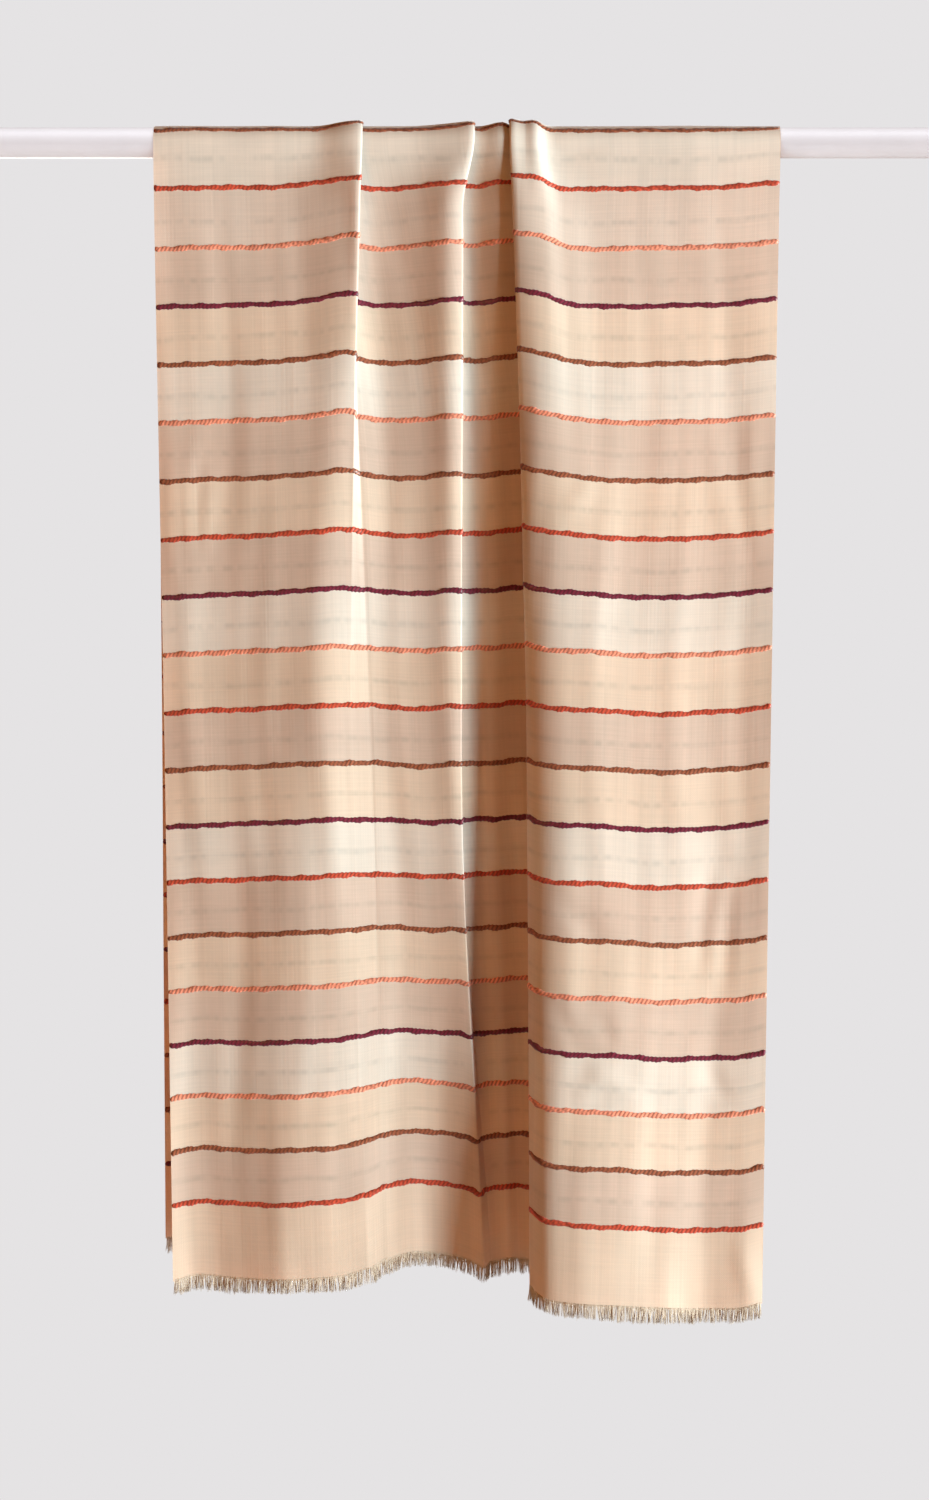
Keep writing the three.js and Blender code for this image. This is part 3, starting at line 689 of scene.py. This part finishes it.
def lay_yarns(settings, tone, lines, seed):
    """The thick yarns of one colour, each a twisted tube that runs through the cloth from edge to edge."""
    rng = np.random.default_rng(seed)
    across = columns(settings.mesh_size / MM)
    half_width, half_height = settings.width / 2 / MM, settings.height / 2 / MM
    around = np.arange(YARN_SIDES) * 2 * np.pi / YARN_SIDES
    all_points, all_faces, all_uv, all_ply = [], [], [], []
    base = 0
    for along in lines:
        points, normals, places = draped(across, [along])
        points, normals, run = points[0], normals[0], places[0, :, 0]
        forward = np.gradient(points, axis=0)
        down = unit(np.cross(forward, normals))
        phases = rng.uniform(0, 2 * np.pi, 6)
        wander = sum(far * ripple(run, length, phase) for (far, length), phase in zip(YARN_WANDER, phases))
        slub = 1
        for (more, length), phase in zip(YARN_SLUBS, phases[3:]):
            slub = slub + more * ripple(run, length, phase)
        taper = np.clip(np.minimum(run, CLOTH_WIDTH - run) / YARN_TAPER + YARN_AT_EDGE, 0, 1)
        twist = run * 2 * np.pi / (settings.twist / MM) + phases[5]
        angle = around[None, :]
        ply = 0.5 + 0.5 * np.cos(2 * (angle - twist[:, None]))  # 1 on the crown of a ply, 0 between two
        size = (slub * taper)[:, None] * (YARN_VALLEY + YARN_CROWN * ply)
        centre = points + down * wander[:, None]
        ring = (
            centre[:, None, :]
            + down[:, None, :] * (np.cos(angle) * size * half_width)[..., None]
            + normals[:, None, :] * (np.sin(angle) * size * half_height)[..., None]
        )
        n = len(run)
        at = base + np.arange(n * YARN_SIDES).reshape(n, YARN_SIDES)
        nxt = np.roll(at, -1, axis=1)
        quads = np.stack([at[:-1], nxt[:-1], nxt[1:], at[1:]], axis=-1).reshape(-1, 4)
        all_faces += quads.tolist() + [at[0].tolist()[::-1], at[-1].tolist()]
        all_points.append(ring.reshape(-1, 3))
        all_uv.append(np.stack([run.repeat(YARN_SIDES) * MM, np.tile(around, n) * MM], axis=1))
        all_ply.append(ply.ravel())
        base += n * YARN_SIDES
    material = yarn_material(tone, getattr(settings, tone))
    piece = new_piece("yarns_" + tone, np.vstack(all_points), all_faces, material)
    mesh = piece.data
    corners = np.zeros(len(mesh.loops), int)
    mesh.loops.foreach_get("vertex_index", corners)
    mesh.uv_layers.new(name="yarn").data.foreach_set("uv", np.vstack(all_uv)[corners].ravel())
    # the ply's crown, which the yarn's material paints as a highlight, and its groove, which it paints as shade
    crowns = mesh.attributes.new(name="ply", type="FLOAT", domain="POINT")
    crowns.data.foreach_set("value", np.concatenate(all_ply))
    return piece


ROOT_DEPTH = 1.5  # how far above the woven edge a thread's root lies
EDGE_MARGIN = 1.0  # and how far in from the selvedge
THREADS_PER_TUFT = 6
TUFT_GATHER = 0.35  # how far a thread leans to the middle of its tuft, as a share of the way
TUFT_LEAN, THREAD_LEAN = 1.0, 0.35  # how far tufts, and threads in them, lean along the hem
TUFT_LIFT, THREAD_LIFT = 0.5, 0.3  # and stand off it
LEAN_CURVE, LIFT_CURVE = 1.4, 1.6  # over 1, so that a thread leaves its root straight
FRINGE_SHARE, FRINGE_WAVE, FRINGE_WAVE_LENGTH = 0.94, 0.06, 21.0  # the cut line's share and its waviness
TUFT_UNEVEN, THREAD_UNEVEN = 0.05, 0.04  # how much the lengths differ
THREAD_TIP = 0.35  # its thickness there, as a share of that at the root
THREAD_BENDS = (-0.25, -0.5, -0.75)
FRINGE_COLUMN = 3.0


def one_thread():
    """A slim three-sided thread a unit long, its root at the top, as points and faces."""
    bpy.ops.object.select_all(action="DESELECT")
    bpy.ops.mesh.primitive_cone_add(
        vertices=3, radius1=THREAD_TIP, radius2=1.0, depth=1.0, location=(0, 0, -0.5), end_fill_type="TRIFAN"
    )
    thread = bpy.context.active_object
    bpy.ops.object.transform_apply(location=True)
    for height in THREAD_BENDS:
        bpy.ops.object.mode_set(mode="EDIT")
        bpy.ops.mesh.select_all(action="SELECT")
        bpy.ops.mesh.bisect(plane_co=(0, 0, height), plane_no=(0, 0, 1))
        bpy.ops.object.mode_set(mode="OBJECT")
    points = np.array([v.co for v in thread.data.vertices])
    faces = [list(face.vertices) for face in thread.data.polygons]
    mesh = thread.data
    bpy.data.objects.remove(thread)
    bpy.data.meshes.remove(mesh)
    return points, faces


def cut_fringe(settings, side, material, seed):
    """The short fringe of warp ends below one woven edge, in uneven tufts that lean together."""
    rng = np.random.default_rng(seed)
    hem, forward = (FRONT_HEM, 1) if side == "front" else (-BACK_HEM, -1)
    across = columns(FRINGE_COLUMN)
    points, normals, places = draped(across, [hem - forward * ROOT_DEPTH])
    points, normals, run = points[0], normals[0], places[0, :, 0]
    count = settings.threads
    where = np.sort(rng.uniform(EDGE_MARGIN, CLOTH_WIDTH - EDGE_MARGIN, count))
    root = np.stack([np.interp(where, run, points[:, k]) for k in range(3)], axis=1)
    out = unit(np.stack([np.interp(where, run, normals[:, k]) for k in range(3)], axis=1))
    along = unit(np.cross(out, np.array([0.0, 0.0, 1.0])))
    tuft = np.cumsum(rng.uniform(size=count) < 1 / THREADS_PER_TUFT)
    tufts = tuft.max() + 1
    lean = rng.normal(0, TUFT_LEAN, tufts)[tuft] + rng.normal(0, THREAD_LEAN, count)
    lift = rng.normal(0, TUFT_LIFT, tufts)[tuft] + rng.normal(0, THREAD_LIFT, count)
    length = (settings.length / MM + ROOT_DEPTH) * (
        FRINGE_SHARE
        + FRINGE_WAVE * np.sin(where / FRINGE_WAVE_LENGTH)
        + rng.normal(0, TUFT_UNEVEN, tufts)[tuft]
        + rng.normal(0, THREAD_UNEVEN, count)
    )
    middle = np.array([where[tuft == k].mean() for k in range(tufts)])[tuft]
    gather = (middle - where) * TUFT_GATHER
    shape, shape_faces = one_thread()
    down = -shape[:, 2]
    thick = settings.thread_width / 2 / MM
    turn = rng.uniform(0, 2 * np.pi, count)
    spun_x = shape[:, 0] * np.cos(turn)[:, None] - shape[:, 1] * np.sin(turn)[:, None]
    spun_y = shape[:, 0] * np.sin(turn)[:, None] + shape[:, 1] * np.cos(turn)[:, None]
    sideways = (lean + gather)[:, None] * down**LEAN_CURVE + spun_x * thick
    outward = lift[:, None] * down**LIFT_CURVE + spun_y * thick
    threads = (
        root[:, None, :]
        + along[:, None, :] * sideways[..., None]
        + out[:, None, :] * outward[..., None]
        - np.array([0, 0, 1.0]) * (length[:, None] * down)[..., None]
    )
    step = len(shape)
    faces = [[i + n * step for i in face] for n in range(count) for face in shape_faces]
    return new_piece("fringe_threads_" + side, threads.reshape(-1, 3), faces, material)


# ---- Settings ----
class StoleClothSettings(bpy.types.PropertyGroup):
    """The cloth's thickness, sheerness and bands"""

    thickness: bpy.props.FloatProperty(
        name="Thickness",
        description="Thickness of the thin cloth",
        default=0.35 * MM,
        unit="LENGTH",
        precision=5,
    )
    mesh_size: bpy.props.FloatProperty(
        name="Mesh width",
        description="Width of a face of the cloth",
        default=4.9 * MM,
        unit="LENGTH",
        precision=5,
    )
    light_through: bpy.props.FloatProperty(
        name="Light through",
        description="Share of the light that comes through",
        default=0.36,
        subtype="FACTOR",
    )
    see_through: bpy.props.FloatProperty(
        name="See-through",
        description="Share of what lies behind that shows through",
        default=0.09,
        subtype="FACTOR",
    )
    ivory: bpy.props.StringProperty(
        name="Ivory", description="sRGB hex of the ivory bands", default="#E6E8DC"
    )
    peach: bpy.props.StringProperty(
        name="Peach", description="sRGB hex of the peach band", default="#E0D9CA"
    )
    gold: bpy.props.StringProperty(
        name="Gold", description="sRGB hex of the golden bands", default="#E4DBC5"
    )
    rose: bpy.props.StringProperty(name="Rose", description="sRGB hex of the rose bands", default="#D9CCBA")


class StoleYarnSettings(bpy.types.PropertyGroup):
    """The thick yarns' size, twist and colours"""

    width: bpy.props.FloatProperty(
        name="Width",
        description="Width of a thick yarn in the cloth",
        default=5.2 * MM,
        unit="LENGTH",
        precision=5,
    )
    height: bpy.props.FloatProperty(
        name="Height",
        description="Height of a thick yarn, both faces",
        default=2.0 * MM,
        unit="LENGTH",
        precision=5,
    )
    twist: bpy.props.FloatProperty(
        name="Twist",
        description="Length of one turn of the yarn",
        default=7.0 * MM,
        unit="LENGTH",
        precision=5,
    )
    mesh_size: bpy.props.FloatProperty(
        name="Mesh length",
        description="Length of a face of the yarn",
        default=1.5 * MM,
        unit="LENGTH",
        precision=5,
    )
    brown: bpy.props.StringProperty(
        name="Brown", description="sRGB hex of the brown yarn", default="#8C4F36"
    )
    red: bpy.props.StringProperty(name="Red", description="sRGB hex of the red yarn", default="#B24630")
    salmon: bpy.props.StringProperty(
        name="Salmon", description="sRGB hex of the salmon yarn", default="#D6866C"
    )
    burgundy: bpy.props.StringProperty(
        name="Burgundy", description="sRGB hex of the wine yarn", default="#6A1C30"
    )


class StoleFringeSettings(bpy.types.PropertyGroup):
    """The fringe's threads"""

    length: bpy.props.FloatProperty(
        name="Length",
        description="Length of the fringe below the cloth",
        default=12.0 * MM,
        unit="LENGTH",
        precision=4,
    )
    threads: bpy.props.IntProperty(
        name="Threads", description="Loose warp ends at each end", default=4400, min=10
    )
    thread_width: bpy.props.FloatProperty(
        name="Thread", description="Thickness of a loose end", default=0.5 * MM, unit="LENGTH", precision=5
    )
    # painted shade: the loose ends' colour is greyer than the cloth's
    colour: bpy.props.StringProperty(
        name="Colour", description="sRGB hex of the loose ends", default="#BFAE99"
    )


class StoleRodSettings(bpy.types.PropertyGroup):
    """The rod's paint"""

    paint: bpy.props.StringProperty(
        name="Paint", description="sRGB hex of the rod's paint", default="#F5F5F6"
    )


class StoleStageSettings(bpy.types.PropertyGroup):
    """The camera, the surroundings and the lights"""

    distance: bpy.props.FloatProperty(
        name="Camera distance", description="From the camera to the rod's axis", default=3.0, unit="LENGTH"
    )
    frame_height: bpy.props.FloatProperty(
        name="Frame height",
        description="Height that the camera sees at the rod's axis",
        default=1.29,
        unit="LENGTH",
    )
    backdrop: bpy.props.StringProperty(
        name="Surroundings", description="sRGB hex around the object", default="#E5E3E4"
    )
    floor: bpy.props.StringProperty(name="Floor", description="sRGB hex of the floor", default="#E2E0E0")
    key: bpy.props.FloatProperty(
        name="Key light", description="Power of the side light", default=1570.0, min=0
    )
    fill: bpy.props.FloatProperty(
        name="Fill light", description="Power of the warm light from the left", default=44.0, min=0
    )
    back: bpy.props.FloatProperty(
        name="Back light", description="Power of the light from behind", default=95.0, min=0
    )
    rod: bpy.props.FloatProperty(
        name="Rod light", description="Power of the lights on the rod", default=34.5, min=0
    )
    ambient: bpy.props.FloatProperty(
        name="Ambient", description="Strength of the even light", default=0.15, min=0
    )


# ---- Operators ----
FIRST_YARN_SEED, FIRST_FRINGE_SEED = 11, 31


class STOLE_OT_cloth(bpy.types.Operator):
    """Hang the cloth over the rod in its pleats"""

    bl_idname = "stole.cloth"
    bl_label = "Hang cloth"

    def execute(self, context):
        cloth = hang_cloth(context.scene.stole_cloth)
        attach(cloth, BODY)
        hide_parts("stole_over_rod", "stole_front_fall", "stole_back_fall")
        return {"FINISHED"}


class STOLE_OT_yarns(bpy.types.Operator):
    """Lay the thick twisted yarns into the cloth"""

    bl_idname = "stole.yarns"
    bl_label = "Lay yarns"

    def execute(self, context):
        settings = context.scene.stole_yarns
        for seed, tone in enumerate(YARN_TONES):
            lines = [line for line, line_tone in yarn_lines() if line_tone == tone]
            yarns = lay_yarns(settings, tone, lines, FIRST_YARN_SEED + seed)
            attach(yarns, BODY)
        return {"FINISHED"}


class STOLE_OT_fringe(bpy.types.Operator):
    """Cut the fringe of loose warp ends at both ends of the cloth"""

    bl_idname = "stole.fringe"
    bl_label = "Cut fringe"

    def execute(self, context):
        settings = context.scene.stole_fringe
        material = thread_material(settings.colour)
        for seed, side in enumerate(SIDES):
            fringe = cut_fringe(settings, side, material, FIRST_FRINGE_SEED + seed)
            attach(fringe, BODY)
            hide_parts("fringe_" + side)
        return {"FINISHED"}


class STOLE_OT_declare(bpy.types.Operator):
    """Gather the yarns and fringe that go with the cloth."""

    bl_idname = "stole.declare"
    bl_label = "State the cut"

    def execute(self, context):
        objects = bpy.data.objects
        on_it = [objects["yarns_" + tone] for tone in YARN_TONES]
        on_it += [objects["fringe_threads_" + side] for side in SIDES]
        return {"FINISHED"}


class STOLE_OT_rod(bpy.types.Operator):
    """Paint the rod white"""

    bl_idname = "stole.rod"
    bl_label = "Paint rod"

    def execute(self, context):
        rod = frame["nodes"]["rod"]
        paint = paint_material(context.scene.stole_rod.paint)
        for slot in rod.material_slots:
            slot.material = paint
        return {"FINISHED"}


FLOOR_HEIGHT = -1.6
FLOOR_SIZE = (2.6, 2.2, 0.02)
FLOOR_ROUNDING = 0.004
MIDDLE_HEIGHT = -0.522  # of the camera's view
MIDDLE_SIDE = -0.0026
LONG_SIDE_SENSOR = 36.0
# power is the setting that holds it, and share how much of that the light has. The last column says whether
# the rod is left out of the light or alone in it.
LIGHTS = [
    # name              power   share place                aimed at      size        colour     rod
    ("key_light",       "key",  1.0,  (6.2, -2.35, -0.9),  (0, 0, -0.5), (2.6, 2.8), "#EFFCFF", "EXCLUDE"),
    ("fill_light",      "fill", 1.0,  (-2.4, -2.9, 0.4),   (0, 0, -0.5), (1.6, 1.6), "#FFBA7C", "EXCLUDE"),
    ("back_light",      "back", 1.0,  (-1.0, 3.2, -0.5),   (0, 0, -0.5), (2.4, 2.0), "#FFF6EC", None),
    ("rod_light_above", "rod",  1.0,  (0, -0.55, 1.2),     (0, 0, 0),    (3.2, 1.2), "#EEF4FC", "INCLUDE"),
    ("rod_light_below", "rod",  0.65, (0, -0.9, -1.05),    (0, 0, 0),    (3.2, 1.2), "#EEF4FC", "INCLUDE"),
]


def aimed_area(name, place, target, size, power, hex_colour):
    """A soft rectangular light at a place, turned to a target."""
    light = bpy.data.lights.new(name, "AREA")
    light.shape = "RECTANGLE"
    light.size, light.size_y = size
    light.energy = power
    light.color = linear(hex_colour)[:3]
    lamp = bpy.data.objects.new(name, light)
    bpy.context.scene.collection.objects.link(lamp)
    lamp.location = place
    way = np.array(target) - np.array(place)
    lamp.rotation_euler = (np.arctan2(np.hypot(way[0], way[1]), -way[2]), 0, np.arctan2(-way[0], way[1]))
    return lamp


class STOLE_OT_stage(bpy.types.Operator):
    """Set the floor, the soft studio light and the camera"""

    bl_idname = "stole.stage"
    bl_label = "Set stage"

    def execute(self, context):
        settings = context.scene.stole_stage
        scene = context.scene
        bpy.ops.object.select_all(action="DESELECT")
        bpy.ops.mesh.primitive_cube_add(size=1, location=(0, 0, FLOOR_HEIGHT - FLOOR_SIZE[2] / 2))
        floor = context.active_object
        floor.name = "studio_floor"
        bpy.ops.object.mode_set(mode="EDIT")
        bpy.ops.mesh.select_all(action="SELECT")
        bpy.ops.transform.resize(value=FLOOR_SIZE)
        bpy.ops.mesh.bevel(offset=FLOOR_ROUNDING, segments=3)
        bpy.ops.object.mode_set(mode="OBJECT")
        finish, tree, output = new_material("matt_pale_board")
        place = add_node(tree, "ShaderNodeTexCoord").outputs["Object"]
        grain = add_node(tree, "ShaderNodeTexNoise", {"Vector": place, "Scale": 60.0}).outputs["Fac"]
        shade = tinted(tree, linear(settings.floor), grain, 0.98, 1.01)
        board = add_node(tree, "ShaderNodeBsdfPrincipled", {"Base Color": shade, "Roughness": 0.85})
        tree.links.new(board.outputs[0], output.inputs["Surface"])
        floor.data.materials.append(finish)

        rod = frame["nodes"]["rod"]
        for name, setting, share, place, target, size, hex_colour, on_rod in LIGHTS:
            lamp = aimed_area(name, place, target, size, share * getattr(settings, setting), hex_colour)
            if on_rod:
                receivers = bpy.data.collections.new(name + "_receivers")
                receivers.objects.link(rod)
                receivers.collection_objects[0].light_linking.link_state = on_rod
                lamp.light_linking.receiver_collection = receivers

        world = bpy.data.worlds.new("studio")
        world.use_nodes = True
        tree = world.node_tree
        tree.nodes.clear()
        seen = add_node(tree, "ShaderNodeBackground", {"Color": linear(settings.backdrop), "Strength": 1.0})
        lit = add_node(tree, "ShaderNodeBackground", {"Color": linear("#FF9E52"), "Strength": settings.ambient})
        ray = add_node(tree, "ShaderNodeLightPath").outputs["Is Camera Ray"]
        both = add_node(tree, "ShaderNodeMixShader", {0: ray, 1: lit.outputs[0], 2: seen.outputs[0]})
        add_node(tree, "ShaderNodeOutputWorld", {"Surface": both.outputs[0]})
        scene.world = world

        data = bpy.data.cameras.new("camera")
        data.sensor_width = LONG_SIDE_SENSOR
        data.lens = LONG_SIDE_SENSOR * settings.distance / settings.frame_height
        camera = bpy.data.objects.new("camera", data)
        scene.collection.objects.link(camera)
        camera.location = (MIDDLE_SIDE, -settings.distance, MIDDLE_HEIGHT)
        camera.rotation_euler = (np.pi / 2, 0, 0)
        scene.camera = camera
        scene.view_settings.view_transform = "Standard"
        return {"FINISHED"}


class STOLE_PT_panel(bpy.types.Panel):
    """Lists the settings and the steps of the stole"""

    bl_idname = "STOLE_PT_panel"
    bl_label = "Stole on a rod"
    bl_space_type = "VIEW_3D"
    bl_region_type = "UI"
    bl_category = "Stole"

    def draw(self, context):
        for operator, _ in STEPS:
            self.layout.operator(operator)
            settings = operator.replace(".", "_")
            if settings in SETTINGS:
                for name in SETTINGS[settings].__annotations__:
                    self.layout.prop(getattr(context.scene, settings), name)


SETTINGS = {
    "stole_cloth": StoleClothSettings,
    "stole_yarns": StoleYarnSettings,
    "stole_fringe": StoleFringeSettings,
    "stole_rod": StoleRodSettings,
    "stole_stage": StoleStageSettings,
}
STEPS = [
    ("stole.cloth", STOLE_OT_cloth),
    ("stole.yarns", STOLE_OT_yarns),
    ("stole.fringe", STOLE_OT_fringe),
    ("stole.rod", STOLE_OT_rod),
    ("stole.stage", STOLE_OT_stage),
    ("stole.declare", STOLE_OT_declare),
]


def register():
    """Makes the settings, the steps and the panel known."""
    for name, group in SETTINGS.items():
        bpy.utils.register_class(group)
        setattr(bpy.types.Scene, name, bpy.props.PointerProperty(type=group))
    for _, step in STEPS:
        bpy.utils.register_class(step)
    bpy.utils.register_class(STOLE_PT_panel)


def unregister():
    """Takes them away again."""
    bpy.utils.unregister_class(STOLE_PT_panel)
    for _, step in reversed(STEPS):
        bpy.utils.unregister_class(step)
    for name, group in SETTINGS.items():
        delattr(bpy.types.Scene, name)
        bpy.utils.unregister_class(group)


def main():
    """Runs every step in order."""
    register()
    bpy.ops.stole.cloth()
    bpy.ops.stole.yarns()
    bpy.ops.stole.fringe()
    bpy.ops.stole.rod()
    bpy.ops.stole.stage()
    bpy.ops.stole.declare()


if __name__ == "__main__":
    main()
